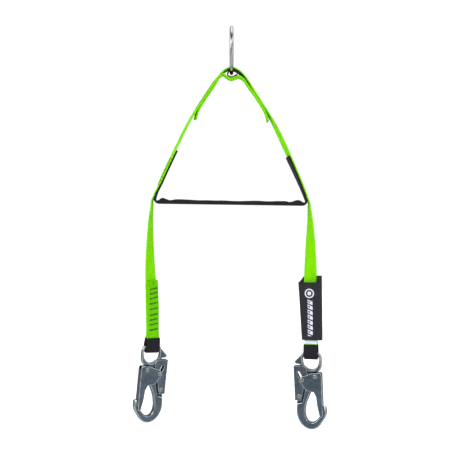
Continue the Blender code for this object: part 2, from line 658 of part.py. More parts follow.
def main():
    clear_scene()
    web = finish("green_webbing", (0.22, 0.80, 0.005), 0.75)
    dark = finish("black_webbing", (0.013, 0.014, 0.02), 0.85)
    zinc = finish("zinc_plated_steel", (0.32, 0.38, 0.41), 0.35, 1.0)
    bright = finish("polished_steel", (0.62, 0.63, 0.60), 0.15, 1.0)
    plastic = finish("black_plastic", (0.02, 0.02, 0.02), 0.5)
    paper = finish("white_label", (0.8, 0.83, 0.9), 0.6)
    make_ring(bright)
    yoke_pivot = empty("yoke_swing", Matrix.Translation((0, 0, YOKE_PIVOT_Z)))
    yoke = [yoke_frame(place, way) for place, way in through(yoke_points(), 5)]
    make_yoke(yoke, web, dark, yoke_pivot)
    make_spreader(yoke, dark, zinc, plastic, yoke_pivot)
    for side, spec in SIDES.items():
        leg = empty(f"{side}_leg_swing", Matrix.Translation(flat(spec["corner"])), yoke_pivot)
        frames, loop = make_leg(side, web, dark, leg)
        make_hook(side, loop, zinc, bright, bright, leg)
        if side == "right":
            middle, across, out, _ = loop
            edge = middle - across * COVER_HALF + out * FLAP_FRONT
            flap = empty("label_flap_open", Matrix.Translation(edge), leg)
            make_cover(frames, loop, dark, dark, paper, leg, flap)


main()
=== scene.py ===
import json
import math

import bpy
import numpy as np
from mathutils import Matrix, Vector


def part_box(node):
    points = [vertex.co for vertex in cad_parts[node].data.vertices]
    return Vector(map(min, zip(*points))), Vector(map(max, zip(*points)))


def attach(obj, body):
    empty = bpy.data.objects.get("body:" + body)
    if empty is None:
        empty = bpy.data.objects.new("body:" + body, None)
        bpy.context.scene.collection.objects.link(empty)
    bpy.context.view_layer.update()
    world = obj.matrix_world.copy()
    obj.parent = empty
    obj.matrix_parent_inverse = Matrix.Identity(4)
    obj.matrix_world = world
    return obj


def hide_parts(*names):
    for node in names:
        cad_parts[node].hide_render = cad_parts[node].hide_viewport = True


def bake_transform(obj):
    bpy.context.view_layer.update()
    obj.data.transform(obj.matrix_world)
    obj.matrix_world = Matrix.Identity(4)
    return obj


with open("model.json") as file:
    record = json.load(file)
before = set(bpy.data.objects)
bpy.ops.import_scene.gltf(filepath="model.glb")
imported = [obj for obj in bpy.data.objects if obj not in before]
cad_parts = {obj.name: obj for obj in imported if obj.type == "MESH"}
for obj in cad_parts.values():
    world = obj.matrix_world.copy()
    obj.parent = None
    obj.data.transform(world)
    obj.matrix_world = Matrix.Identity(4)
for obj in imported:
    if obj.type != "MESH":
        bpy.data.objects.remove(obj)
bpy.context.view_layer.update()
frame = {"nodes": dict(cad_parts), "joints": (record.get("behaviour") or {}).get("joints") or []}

# Studio. A pale floor well below the hanging lanyard, and three soft lamps. The camera sees a white
# surround. The steel reflects one that is dim on the camera's side but for three bright panels, and
# light behind the lanyard but for one dark panel.
scene = bpy.context.scene
scene.view_settings.view_transform = "Standard"
camera = bpy.data.objects.new("camera", bpy.data.cameras.new("camera"))
scene.collection.objects.link(camera)
scene.camera = camera
camera.data.lens, camera.data.sensor_width, camera.data.clip_start = 57.4, 36, 0.01
camera.location = (-0.0029, -1.4, -0.3806)
camera.rotation_euler = (math.radians(90), 0, 0)


class Wire:
    """A value inside a material. Sums and products of wires add their own Math nodes."""

    def __init__(self, finish, socket):
        self.finish, self.socket = finish, socket

    def maths(self, operation, first, second=0.0):
        return self.finish.node("ShaderNodeMath", {"operation": operation}, {0: first, 1: second})

    def __add__(self, other):
        return self.maths("ADD", self, other)

    def __sub__(self, other):
        return self.maths("SUBTRACT", self, other)

    def __rsub__(self, other):
        return self.maths("SUBTRACT", other, self)

    def __mul__(self, other):
        return self.maths("MULTIPLY", self, other)

    def __truediv__(self, other):
        return self.maths("DIVIDE", self, other)

    def __pow__(self, other):
        return self.maths("POWER", self, other)

    def __lt__(self, other):
        return self.maths("LESS_THAN", self, other)

    def __gt__(self, other):
        return self.maths("GREATER_THAN", self, other)

    def __abs__(self):
        return self.maths("ABSOLUTE", self)

    __radd__, __rmul__ = __add__, __mul__

    def sine(self):
        return self.maths("SINE", self)

    def floor(self):
        return self.maths("FLOOR", self)

    def clamped(self):
        return self.finish.node("ShaderNodeClamp", {}, {"Value": self})


class Finish:
    """A material, with its constant values set on the shader's own sockets."""

    def __init__(self, name, **constants):
        self.material = bpy.data.materials.new(name)
        self.material.use_nodes = True
        self.tree = self.material.node_tree
        self.shader = self.tree.nodes["Principled BSDF"]
        for socket, value in constants.items():
            self.shader.inputs[socket.replace("_", " ")].default_value = value

    def node(self, kind, settings, inputs, output=0):
        made = self.tree.nodes.new(kind)
        for key, value in settings.items():
            setattr(made, key, value)
        for key, value in inputs.items():
            if isinstance(value, Wire):
                self.tree.links.new(value.socket, made.inputs[key])
            else:
                made.inputs[key].default_value = value
        return Wire(self, made.outputs[output])

    def split(self, vector):
        first = self.node("ShaderNodeSeparateXYZ", {}, {0: vector})
        return [Wire(self, socket) for socket in first.socket.node.outputs]

    def attribute(self, name, output="Fac"):
        return self.node("ShaderNodeAttribute", {"attribute_name": name}, {}, output)

    def blend(self, factor, first, second):
        return self.node("ShaderNodeMix", {"data_type": "RGBA"}, {0: factor, 6: first, 7: second}, 2)

    def place(self):
        return self.node("ShaderNodeTexCoord", {}, {}, "Object")

    def noise(self, scale, detail=3.0, vector=None):
        inputs = {"Vector": vector or self.place(), "Scale": scale, "Detail": detail}
        return self.node("ShaderNodeTexNoise", {}, inputs, "Fac")

    def bump(self, height, distance, strength=1.0):
        inputs = {"Height": height, "Distance": distance, "Strength": strength}
        self.feed("Normal", self.node("ShaderNodeBump", {}, inputs, "Normal"))

    def feed(self, socket, wire):
        self.tree.links.new(wire.socket, self.shader.inputs[socket])


def tone(r, g, b):
    """A colour for a node's socket."""
    return (r, g, b, 1.0)


pale = Finish("floor_paint", Roughness=0.8, Emission_Strength=0.66)
shown = pale.node("ShaderNodeLightPath", {}, {}, "Is Camera Ray")
pale.feed("Emission Color", pale.blend(shown, tone(0.12, 0.12, 0.12), tone(1, 1, 1)))
pale.feed("Base Color", pale.blend(pale.noise(3), tone(0.86, 0.86, 0.86), tone(0.9, 0.9, 0.9)))
bpy.ops.object.select_all(action="DESELECT")
bpy.ops.mesh.primitive_plane_add(size=16, location=(0, 0, -1.15))
floor = bpy.context.object
floor.name = "floor"
floor.data.materials.append(pale.material)

world = bpy.data.worlds.new("surround")
scene.world = world
world.use_nodes = True
sky = Finish.__new__(Finish)     # the world's nodes are wired as a material's are
sky.tree = world.node_tree
surround = world.node_tree.nodes["Background"]
surround.inputs["Color"].default_value = (1, 1, 1, 1)
beside, away, height = sky.split(sky.node("ShaderNodeTexCoord", {}, {}, "Generated"))
back = (away * 1.5 + 0.6).clamped()
flag = (1.0 - abs(beside + 0.86) * 3.2).clamped() * (away > 0.25)
front = away < 0.15
left_box = (1.6 - abs(beside + 0.87) * 14).clamped() * (abs(height) < 0.75)
right_box = (1.6 - abs(beside - 0.40) * 11).clamped() * (abs(height) < 0.75)
top_box = (1.5 - abs(height - 0.52) * 7).clamped()
boxes = (left_box + right_box + top_box).clamped() * front
soft = (0.13 + 0.62 * back) * (1.0 - 0.8 * flag) + boxes * 1.9
seen = sky.node("ShaderNodeLightPath", {}, {}, "Is Camera Ray")
world.node_tree.links.new((soft * (1.0 - seen) + seen * 1.05).socket, surround.inputs["Strength"])
mid_lanyard = Vector((0, 0, -0.38))
for name, stand, size, power in (("key_lamp", (-1.3, -1.5, 0.5), 1.1, 15),
                                 ("fill_lamp", (1.7, -1.2, -0.2), 1.4, 8),
                                 ("top_lamp", (0.2, 0.3, 1.5), 1.5, 12)):
    lamp = bpy.data.objects.new(name, bpy.data.lights.new(name, "AREA"))
    lamp.data.size, lamp.data.energy = size, power
    lamp.location = stand
    lamp.rotation_euler = (mid_lanyard - Vector(stand)).to_track_quat("-Z", "Y").to_euler()
    scene.collection.objects.link(lamp)

# Ring. Round steel bar bent to a ring, butt welded and polished. The weld stands a little proud at
# the back of the ring.
MM = 0.001
polished = Finish("polished_steel", Metallic=1.0, IOR=2.5)
smudge = polished.noise(90, 6)
polished.feed("Base Color", polished.blend(smudge, tone(0.26, 0.27, 0.265), tone(0.42, 0.43, 0.42)))
polished.feed("Roughness", 0.09 + 0.16 * smudge)
polished.bump(polished.noise(900, 2), 0.00003, 0.35)


def take(name, kind, **sizes):
    """A new primitive, alone selected."""
    bpy.ops.object.select_all(action="DESELECT")
    getattr(bpy.ops.mesh, f"primitive_{kind}_add")(**sizes)
    piece = bpy.context.object
    piece.name = piece.data.name = name
    return piece


def points_of(piece):
    """The piece's points in metres, in its own frame."""
    found = np.empty(len(piece.data.vertices) * 3)
    piece.data.vertices.foreach_get("co", found)
    return found.reshape(-1, 3)


def put_points(piece, points):
    piece.data.vertices.foreach_set("co", np.ascontiguousarray(points, dtype=np.float32).ravel())
    piece.data.update()


def settle(piece):
    """Puts the piece's place and turn into its mesh."""
    piece.data.transform(piece.matrix_world)
    piece.matrix_world = Matrix()
    piece.data.update()


def file_piece(piece, body, finish, slot, *nodes):
    """Gives a finished piece its material and its body, and hides the CAD nodes that it stands for."""
    piece.data.materials.clear()
    piece.data.materials.append(finish.material)
    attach(piece, body)
    if nodes:
        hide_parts(*nodes)


ring_low, ring_high = (Vector(v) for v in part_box("top_ring"))
wire_radius = 3.8 * MM
bend_radius = ring_high.y - wire_radius
weld_turn = 62                   # degrees from the top of the ring towards its back
ring_middle = (0, 0, (ring_low.z + ring_high.z) / 2)
ring = take("steel_ring", "torus", major_radius=bend_radius, minor_radius=wire_radius,
            major_segments=180, minor_segments=36, location=ring_middle, rotation=(0, math.radians(90), 0))
settle(ring)
middle = np.array(ring_middle)
spokes = points_of(ring) - middle
turn = np.degrees(np.arctan2(spokes[:, 1], spokes[:, 2])) - weld_turn
core = spokes * [0, 1, 1]
core *= bend_radius / np.linalg.norm(core, axis=1)[:, None]
proud = 0.07 * np.exp(-(turn / 1.6) ** 2) - 0.012 * np.exp(-((turn - 4) / 2.5) ** 2)
put_points(ring, middle + core + (spokes - core) * (1 + proud)[:, None])
bpy.ops.object.shade_smooth()
file_piece(ring, "ring", polished, "polished_steel", "top_ring")

# Yoke strap. One length of lime polyester webbing, 25 mm wide, laid over the ring's wire and running
# down both sides to the spreader bar's corners, where it goes on as the legs.
RIB = 1.9 * MM                   # from one rib of the weave to the next
WEB_WIDTH, WEB_THICK = 25 * MM, 2.8 * MM
joint = {j["name"]: j for j in frame["joints"]}
corner = {side: Vector(joint[f"{side}_leg_swing"]["pos_m"]) for side in ("left", "right")}
sign = {"left": -1, "right": 1}
JOIN = 12 * MM                   # how far above a corner the leg's own piece takes over


def webbing(name, dark, lit, rib, yarn, rough, lift, **constants):
    """Woven cloth: ribs across it, each broken into yarns, with a little unevenness in the dye. Its colour
    runs from a dark to a lit tone: the grooves between the ribs and yarns are painted darker as painted
    shade, and points marked lap are painted darker still as painted shade.
    """
    cloth = Finish(name, **constants)
    across, along, _ = cloth.split(cloth.attribute("run", "Vector"))
    column = (across / yarn).floor()
    ribs = (along * (math.tau / rib) + column * 0.9).sine() * 0.5 + 0.5
    yarns = abs((across * (math.pi / yarn)).sine()) ** 0.5
    fuzz = cloth.noise(1400, 2)
    height = ribs * (0.45 + 0.55 * yarns) + 0.25 * fuzz
    dye = cloth.noise(38, 4) * 0.5 + fuzz * 0.2
    # painted shade: low places of the weave and points marked lap get the dark tone; the dye noise is the
    # cloth's own uneven colour
    shade = (height * 0.62 + dye * 0.55 - 0.05 - cloth.attribute("lap") * 0.3).clamped()
    cloth.feed("Base Color", cloth.blend(shade, dark, lit))
    cloth.feed("Roughness", (rough + 0.15 * fuzz - 0.1 * ribs).clamped())
    cloth.bump(height, lift)
    return cloth


lime = webbing("lime_webbing", tone(0.095, 0.44, 0.0), tone(0.33, 1.0, 0.0), RIB, 2.1 * MM, 0.7, 0.0003,
               Specular_IOR_Level=0.06)


def curve_through(points, steps=40):
    """Close places on a smooth line through the points."""
    points = [np.array(p) for p in points]
    ends = [2 * points[0] - points[1], *points, 2 * points[-1] - points[-2]]
    line = []
    for a, b, c, d in zip(ends, ends[1:], ends[2:], ends[3:]):
        t = np.arange(steps)[:, None] / steps
        square, cube = (2 * a - 5 * b + 4 * c - d) * t**2, (3 * b - a - 3 * c + d) * t**3
        line.append((2 * b + (c - a) * t + square + cube) / 2)
    return np.vstack([*line, points[-1][None]])


def unit(vectors):
    return vectors / np.linalg.norm(vectors, axis=1)[:, None]


def eased(values, width):
    """A running mean that keeps both ends where they are."""
    count = max(1, int(width)) // 2 * 2 + 1
    half = count // 2
    before, after = 2 * values[0] - values[half:0:-1], 2 * values[-1] - values[-2:-half - 2:-1]
    padded = np.vstack([before, values, after])
    return np.stack([np.convolve(column, np.ones(count) / count, "valid") for column in padded.T], 1)


def lay(middle, across, step=0.475 * MM, soften=0.0):
    """Even rows of a strap: distance along it, its middle, its widthways and outward directions."""
    gone = np.concatenate(([0], np.cumsum(np.linalg.norm(np.diff(middle, axis=0), axis=1))))
    even = np.linspace(0, gone[-1], int(gone[-1] / step) + 1)
    middle, across = (np.stack([np.interp(even, gone, v) for v in values.T], 1)
                      for values in (middle, across))
    if soften:
        middle, across = eased(middle, soften / step), eased(across, soften / step)
    way = unit(np.gradient(middle, axis=0))
    across = unit(across - way * (across * way).sum(1)[:, None])
    return even, middle, across, np.cross(across, way)


def selvedge(width, thick, flats=12, turns=5):
    """A strap's cross-section: two flat faces between round woven edges."""
    radius = thick / 2
    turn = np.linspace(-math.pi / 2, math.pi / 2, turns + 1)
    right = np.stack([width / 2 - radius + radius * np.cos(turn), radius * np.sin(turn)], 1)
    top = np.stack([np.linspace(width / 2 - radius, radius - width / 2, flats + 1)[1:-1],
                    np.full(flats - 1, radius)], 1)
    return np.vstack([right, top, -right, -top])


def woven(name, rows, section, start=0.0, rib=0.0, pitch=RIB, shape=None, ends=True):
    """A strap or sleeve drawn along its rows from a plain grid rolled into a tube."""
    even, middle, across, out = rows
    piece = take(name, "grid", x_subdivisions=len(section), y_subdivisions=len(even) - 1, size=2)
    flat = points_of(piece)
    column = np.rint((flat[:, 0] + 1) / 2 * len(section)).astype(int) % len(section)
    row = np.rint((flat[:, 1] + 1) / 2 * (len(even) - 1)).astype(int)
    wide, tall = section[column].T
    swell = 1 + rib * np.cos(math.tau * (even[row] + start) / pitch)
    side, up = wide, tall * swell
    if shape:
        side, up = shape(even[row], wide, up)
    put_points(piece, middle[row] + across[row] * side[:, None] + out[row] * up[:, None])
    run = piece.data.attributes.new("run", "FLOAT_VECTOR", "POINT")
    run.data.foreach_set("vector", np.stack([wide, even[row] + start, tall], 1).ravel())
    bpy.ops.object.mode_set(mode="EDIT")
    bpy.ops.mesh.select_all(action="SELECT")
    bpy.ops.mesh.remove_doubles(threshold=0.000001)
    if ends:
        bpy.ops.mesh.select_all(action="DESELECT")
        bpy.ops.mesh.select_mode(type="EDGE")
        bpy.ops.mesh.select_non_manifold()
        bpy.ops.mesh.fill_holes(sides=0)
    bpy.ops.mesh.select_all(action="SELECT")
    bpy.ops.mesh.normals_make_consistent(inside=False)
    bpy.ops.object.mode_set(mode="OBJECT")
    bpy.ops.object.shade_smooth_by_angle(angle=math.radians(55))
    return piece


def spot(rows, along, side, lift):
    """A place on a strap: so far along it, to one side of its middle and proud of it."""
    even, *fields = rows
    middle, across, out = (np.array([np.interp(along, even, v) for v in field.T]) for field in fields)
    return Vector(middle + across * side + out * lift)


def rising(t):
    """A smooth step from 0 to 1."""
    t = np.clip(t, 0, 1)
    return t * t * (3 - 2 * t)


def yoke_lean(x):
    """Lean of the yoke's straps: the left one shows its outer face, the right one its inner face."""
    share = x / 0.148                # of the way from the ring out to a corner
    left, right = -share, np.clip(share, 0.5, 1)
    return (math.radians(14) * rising((left - 0.08) / 0.16) * rising((1 - left) / 0.1) * (x < 0)
            - math.radians(14) * np.sin(math.pi * right) * rising((share - 0.40) / 0.28))


def level_across(middle):
    """The widthways direction of a strap of the yoke at each place on it."""
    way = unit(np.gradient(middle, axis=0))
    normal = np.stack([-way[:, 2], 0 * way[:, 0], way[:, 0]], 1)
    roll = yoke_lean(middle[:, 0])[:, None]
    return np.array([0, 1.0, 0]) * np.cos(roll) + normal * np.sin(roll), unit(normal)


yoke_half = [(0, -72.2), (12, -76.8), (25, -88.4), (43, -116), (77, -171.5), (109, -238), (134, -294),
             (148, -329.5)]
apex, foot = yoke_half[0][1], yoke_half[-1][1]
halves = {}
for side in ("left", "right"):
    wide = corner[side].x / yoke_half[-1][0]
    deep = (corner[side].z / MM - apex) / (foot - apex)
    halves[side] = [(x * wide, 0, (apex + (z - apex) * deep) * MM) for x, z in yoke_half]
yoke_line = curve_through(halves["left"][:0:-1] + halves["right"])
yoke_across, yoke_normal = level_across(yoke_line)
yoke_rows = lay(yoke_line, yoke_across)
yoke_length = yoke_rows[0][-1]
ridge = int(np.argmax(yoke_rows[1][:, 2]))
gone_left = yoke_rows[0][ridge]            # from the left corner up to the ring


def part_of(rows, first, last):
    """The rows between two distances along a strap."""
    chosen = (rows[0] >= first) & (rows[0] <= last)
    return tuple(field[chosen] for field in rows)


webs = selvedge(WEB_WIDTH, WEB_THICK)
yoke_strap = woven("yoke_webbing", part_of(yoke_rows, JOIN, yoke_length - JOIN), webs, rib=0.07)
file_piece(yoke_strap, "yoke", lime, "green_webbing", "yoke_strap")
yoke_length - 2 * JOIN

# Keeper strap. A shorter length of the same webbing sewn under the yoke strap on each side of the
# ring, so that the ring can't leave it. Its heat-cut ends stand off and curl.
keeper_sag = {"left": [(-5.5, -91.6), (-11.5, -87.4)], "right": [(7, -91), (14.2, -88.6)]}
keeper_from = {"left": 18.5 * MM, "right": 25 * MM}      # where it closes up under the yoke strap
beside_pad = {"left": 3.3 * MM, "right": 4.8 * MM}       # from the yoke strap, next to the pad's tail
beyond_pad = 3.1 * MM
runs = {}
for side in ("left", "right"):
    reach = yoke_line[:, 0] * sign[side]
    use = (reach > keeper_from[side]) & (reach < 0.077)
    reach = reach[use]
    near, tip = rising((reach - 0.034) / 0.014), np.clip((reach - 0.062) / 0.013, 0, 1.15)
    offset = beside_pad[side] + (beyond_pad - beside_pad[side]) * near + 4.2 * MM * tip**2
    points = yoke_line[use] - yoke_normal[use] * offset[:, None]
    points = points[np.argsort(reach)][(len(points) - 1) % 8::8]
    runs[side] = [(x * MM, 0, z * MM) for x, z in keeper_sag[side]] + list(points)
keeper_middle = curve_through(runs["left"][::-1] + [(0, 0, -93.2 * MM)] + runs["right"], 12)
keeper_rows = lay(keeper_middle, level_across(keeper_middle)[0], soften=3 * MM)


def curled(along, wide, tall):
    """The melted ends are drawn in and a little thicker."""
    tip = np.clip(1 - np.minimum(along, keeper_rows[0][-1] - along) / (2.2 * MM), 0, 1)
    return wide * (1 - 0.05 * tip**2), tall * (1 + 0.35 * tip * (1 - tip**3))


def places_along(strap):
    """How far along its webbing each of a strap's points was drawn."""
    run = np.empty(len(strap.data.vertices) * 3)
    strap.data.attributes["run"].data.foreach_get("vector", run)
    return run[1::3]


def mark_points(piece, name, values):
    """Gives each of a piece's points a value that its material reads."""
    piece.data.attributes.new(name, "FLOAT", "POINT").data.foreach_set("value", values.astype(np.float32))


keeper = woven("keeper_webbing", keeper_rows, webs, rib=0.07, shape=curled)
along = places_along(keeper)
# The last 2 mm at each curled end are marked so that the webbing is painted darker there, as painted shade.
mark_points(keeper, "lap", 1.6 * (np.minimum(along, keeper_rows[0][-1] - along) < 2 * MM))
file_piece(keeper, "yoke", lime, "green_webbing", "keeper_strap")

# Wear pad. A thin black nylon strip folded round the ring's wire between the two green straps, its
# tail sewn in down the right-hand side.
FINE_RIB = 1.2 * MM
black = webbing("black_nylon", tone(0.002, 0.0022, 0.004), tone(0.010, 0.0108, 0.018), FINE_RIB, 1.3 * MM,
                0.66, 0.00016, Specular_IOR_Level=0.22)
pad_route = [(11, -84.4), (6.5, -87.6), (0, -90.1), (-6.4, -87.4), (-8.1, -83.8), (-6.5, -80),
             (-4.3, -75.9), (0, -74.4), (4.3, -75.7), (8, -77.2), (14, -81.1), (23.2, -89.6),
             (29.6, -98.6), (33.3, -104.4)]
pad_middle = curve_through([(x * MM, 0, z * MM) for x, z in pad_route], 20)
pad_rows = lay(pad_middle, level_across(pad_middle)[0])
pad = woven("ring_pad", pad_rows, selvedge(WEB_WIDTH - 0.4 * MM, 1 * MM, turns=3), rib=0.05,
            pitch=FINE_RIB)
file_piece(pad, "yoke", black, "black_webbing", "ring_wear_pad")

# Spreader sleeve. Black tubular webbing drawn over the spreader bar, puckered where the bar ends, and
# flattened past the corners into two tabs sewn inside the yoke strap.
SLEEVE_TALL, SLEEVE_DEEP, TAB_TALL, TAB_DEEP = 8.6 * MM, 27 * MM, 3.2 * MM, 25.6 * MM
TURN_RADIUS = 3.6 * MM           # of the sleeve's middle where it turns up into a tab
tab_top = {"left": -227 * MM, "right": -239 * MM}
sleeve_ends = {}
for side in ("left", "right"):
    s, at = sign[side], corner[side]
    use = (yoke_line[:, 0] * s > 0) & (yoke_line[:, 2] > at.z + 6.5 * MM)
    use &= yoke_line[:, 2] < tab_top[side]
    tab = yoke_line[use] - yoke_normal[use] * (WEB_THICK / 2 + 0.3 * MM + TAB_TALL / 2)
    tab = tab[np.argsort(-tab[:, 2])]
    out = yoke_normal[use][np.argmin(yoke_line[use][:, 2])]
    centre = np.array([tab[-1][0] - s * TURN_RADIUS, 0, at.z - 0.6 * MM + TURN_RADIUS])
    begin = math.atan2(out[2], s * out[0])
    turns = begin + (-math.pi / 2 - begin) * np.linspace(0, 1, 16)
    arc = centre + np.stack([s * np.cos(turns), 0 * turns, np.sin(turns)], 1) * TURN_RADIUS
    sleeve_ends[side] = (tab, arc)
bar_line = np.linspace(sleeve_ends["left"][1][-1], sleeve_ends["right"][1][-1], 300)[1:-1]
sleeve_middle = np.vstack([*sleeve_ends["left"], bar_line, sleeve_ends["right"][1][::-1],
                           sleeve_ends["right"][0][::-1]])
sleeve_across = np.tile([0.0, 1.0, 0.0], (len(sleeve_middle), 1))
for side in ("left", "right"):
    tab = sleeve_ends[side][0]
    lean = yoke_lean(tab[:, 0])[:, None]
    normal = level_across(tab)[1]
    normal *= np.sign(normal[:, 2])[:, None]
    turned = np.array([0, 1.0, 0]) * np.cos(lean) + normal * np.sin(lean)
    first = 0 if side == "left" else len(sleeve_middle) - len(tab)
    sleeve_across[first:first + len(tab)] = turned if side == "left" else turned[::-1]
sleeve_rows = lay(sleeve_middle, sleeve_across, step=0.8 * MM)
tab_long = {side: np.linalg.norm(np.diff(np.vstack(ends), axis=0), axis=1).sum()
            for side, ends in sleeve_ends.items()}


def puckered(along, wide, tall):
    """The tube swells round the bar and its top rises and falls beside the bar's two ends."""
    inward = np.minimum(along - tab_long["left"], sleeve_rows[0][-1] - tab_long["right"] - along)
    grown = rising(inward / (10 * MM))
    x = np.interp(along, sleeve_rows[0], sleeve_rows[1][:, 0]) / MM
    waves = sum(rise * np.exp(-((x - place) / spread) ** 2) for place, spread, rise in (
        (-131, 6.5, 2.6), (-116, 6, -1.9), (-97, 9, 0.3), (-60, 18, -1.2), (-32, 12, -0.9), (10, 30, -1.8),
        (70, 16, -1.4), (97, 9, -0.4), (111, 6, -2.4), (126, 7, 2.0)))
    side = wide * (TAB_DEEP + (SLEEVE_DEEP - TAB_DEEP) * grown) / SLEEVE_DEEP
    full = np.where(tall > 0, rising((inward + 4 * MM) / (6 * MM)), grown)
    up = tall * (TAB_TALL + (SLEEVE_TALL - TAB_TALL) * full) / SLEEVE_TALL
    on_top = (tall < 0) * np.clip(1.3 - abs(wide) / SLEEVE_DEEP * 1.1, 0, 1)
    return side, up - waves * MM * grown * on_top


sleeve_section = selvedge(SLEEVE_DEEP, SLEEVE_TALL, flats=14, turns=8)
sleeve = woven("spreader_cover", sleeve_rows, sleeve_section, rib=0.012, pitch=3.2 * MM, shape=puckered,
               ends=False)


def choose(piece):
    """Leaves one piece selected and active."""
    bpy.ops.object.select_all(action="DESELECT")
    piece.select_set(True)
    bpy.context.view_layer.objects.active = piece


def work(piece, kind, **settings):
    """Adds a modifier and applies it."""
    choose(piece)
    step = piece.modifiers.new(kind.lower(), kind)
    for key, value in settings.items():
        setattr(step, key, value)
    bpy.ops.object.modifier_apply(modifier=step.name)


work(sleeve, "SOLIDIFY", thickness=1.1 * MM, offset=-1)
file_piece(sleeve, "yoke", black, "black_webbing", "spreader_sleeve")

# Spreader bar. A flat zinc-plated steel bar inside the sleeve with a moulded plastic cap on each end,
# so that its corners don't wear through the webbing.
zinc = Finish("zinc_plating", Metallic=0.95, IOR=2.0)
spangle = zinc.noise(170, 6)
cloud = zinc.noise(42, 3)
wear_and_painted_light = zinc.attribute("wear_and_painted_light")
# Proud edges are painted towards bare bright steel: partly worn-through plating, partly a painted highlight
# where the lamps would glint on the rounded edges.
edge_wear_and_highlight = (wear_and_painted_light * 1.45 - 0.34).clamped()
# painted shade: points lying back in hollows, and the gate channel's back wall, are painted nearly black
# and made rougher
painted_hollow_shade = (wear_and_painted_light * -1.6).clamped()
mottle = (spangle * 0.9 + cloud * 0.7 - 0.35).clamped()
plating = zinc.blend(mottle, tone(0.035, 0.052, 0.072), tone(0.125, 0.165, 0.20))
plating = zinc.blend(edge_wear_and_highlight, plating, tone(0.76, 0.82, 0.84))
zinc.feed("Base Color", zinc.blend(painted_hollow_shade, plating, tone(0.02, 0.025, 0.035)))
zinc.feed("Roughness", (0.15 + 0.16 * spangle - 0.03 * edge_wear_and_highlight + 0.2 * painted_hollow_shade).clamped())
zinc.bump(zinc.noise(620, 4) + 0.8 * zinc.noise(150, 2), 0.00008, 0.6)
moulded = Finish("moulded_plastic", Specular_IOR_Level=0.4)
resin = moulded.blend(moulded.noise(60), tone(0.012, 0.012, 0.014), tone(0.03, 0.03, 0.034))
moulded.feed("Base Color", resin)
moulded.feed("Roughness", 0.42 + 0.2 * moulded.noise(300))


def refinish(node, finish):
    """Gives a CAD piece that keeps its own mesh its material."""
    frame["nodes"][node].data.materials.clear()
    frame["nodes"][node].data.materials.append(finish.material)


refinish("spreader_bar", zinc)
for side in corner:
    refinish(f"{side}_bar_cap", moulded)

# Legs. The same webbing going on past the corners. Each leg turns from edge-on to face the viewer,
# passes round its hook's eye bar and comes back up, and is sewn to itself in a lap.
def axis(name):
    """A hinge's direction."""
    return np.array(joint[name]["axis"], dtype=float) / np.linalg.norm(joint[name]["axis"])


eye = {side: np.array(joint[f"{side}_hook_swing"]["pos_m"]) for side in corner}
hook_x = {side: axis(f"{side}_hook_swing") for side in corner}
hook_y = {side: axis(f"{side}_gate_open") for side in corner}
hook_z = {side: np.cross(hook_x[side], hook_y[side]) for side in corner}
facing = {"left": hook_y["left"], "right": -hook_y["right"]}     # the loop's front, to the viewer
leg_bends = {"left": [(-154.4, -430), (-151.2, -545), (-151.0, -585)],
             "right": [(149.8, -420), (150.6, -520), (151.5, -590)]}
leg_twist = {"left": (62, 205), "right": (73, 150)}       # degrees, and how far below the corner in mm
lap_top = {"left": -475.5 * MM, "right": -482 * MM}
LAP, LOOP = 1.55 * MM, 7.85 * MM           # from the leg's middle line to each layer, sewn and in the loop
LOOP_RISE, LAP_SHIFT = 34 * MM, 2.0 * MM


def leg_layers(side):
    """Middle line of a leg with its widthways direction and the way to its front."""
    route = [tuple(corner[side]), *((x * MM, 0, z * MM) for x, z in leg_bends[side]), tuple(eye[side])]
    line = curve_through(route, 60)
    way = unit(np.gradient(line, axis=0))
    angle, length = leg_twist[side]
    turned = math.radians(angle) * np.clip((corner[side].z - line[:, 2]) / (length * MM), 0, 1)
    across = np.stack([sign[side] * np.sin(turned), -np.cos(turned), 0 * turned], 1)
    across = unit(across - way * (across * way).sum(1)[:, None])
    front = np.cross(way, across) * sign[side]
    return line, across, front


leg_rows = {}
for side in ("left", "right"):
    line, across, front = leg_layers(side)
    rise = line[:, 2] - eye[side][2]
    apart = (LAP + (LOOP - LAP) * (1 - rising(rise / LOOP_RISE)))[:, None]
    apart_top = LAP * (1 - rising((corner[side].z - line[:, 2]) / (40 * MM)))[:, None]
    keep = rise > 1 * MM
    down = (line - front * (apart - apart_top))[keep]
    turns = np.linspace(0, math.pi, 40)[:, None]
    x, y, z = (v[side] for v in (hook_x, facing, hook_z))
    bend = eye[side] + LOOP * (-y * np.cos(turns) - z * np.sin(turns))
    climb = (line + front * apart)[keep & (line[:, 2] < lap_top[side])][::-1]
    lap_across = across[keep & (line[:, 2] < lap_top[side])][::-1]
    aside = rising((climb[:, 2] - eye[side][2] - 0.03) / 0.09) * sign[side] * LAP_SHIFT
    climb = climb + lap_across * aside[:, None]
    # the yoke's rows above the corner, turned to run the same way as the leg
    yoke_end, order = (0, JOIN), slice(None, None, -1)
    if side == "right":
        yoke_end, order = (yoke_length - JOIN, yoke_length), slice(None)
    yoke_top = part_of(yoke_rows, *yoke_end)
    above, above_across = yoke_top[1][order], -yoke_top[2][order]
    middle = np.vstack([above[:-1], down, bend[1:-1], climb])
    widthways = np.vstack([above_across[:-1], across[keep], np.tile(x, (len(bend) - 2, 1)), lap_across])
    rows = lay(middle, widthways, soften=4 * MM)
    leg_rows[side] = rows
    leg = woven(f"{side}_leg_webbing", rows, webs, rib=0.07, start=gone_left - JOIN)
    leg.data.materials.append(lime.material)
    # The climb past the loop's lowest point, the sewn lap, is marked so that its webbing is painted darker,
    # as painted shade.
    lowest = rows[0][np.argmin(rows[1][:, 2])] + gone_left - JOIN
    mark_points(leg, "lap", places_along(leg) > lowest)
    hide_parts(f"{side}_leg_strap")
    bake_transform(leg)

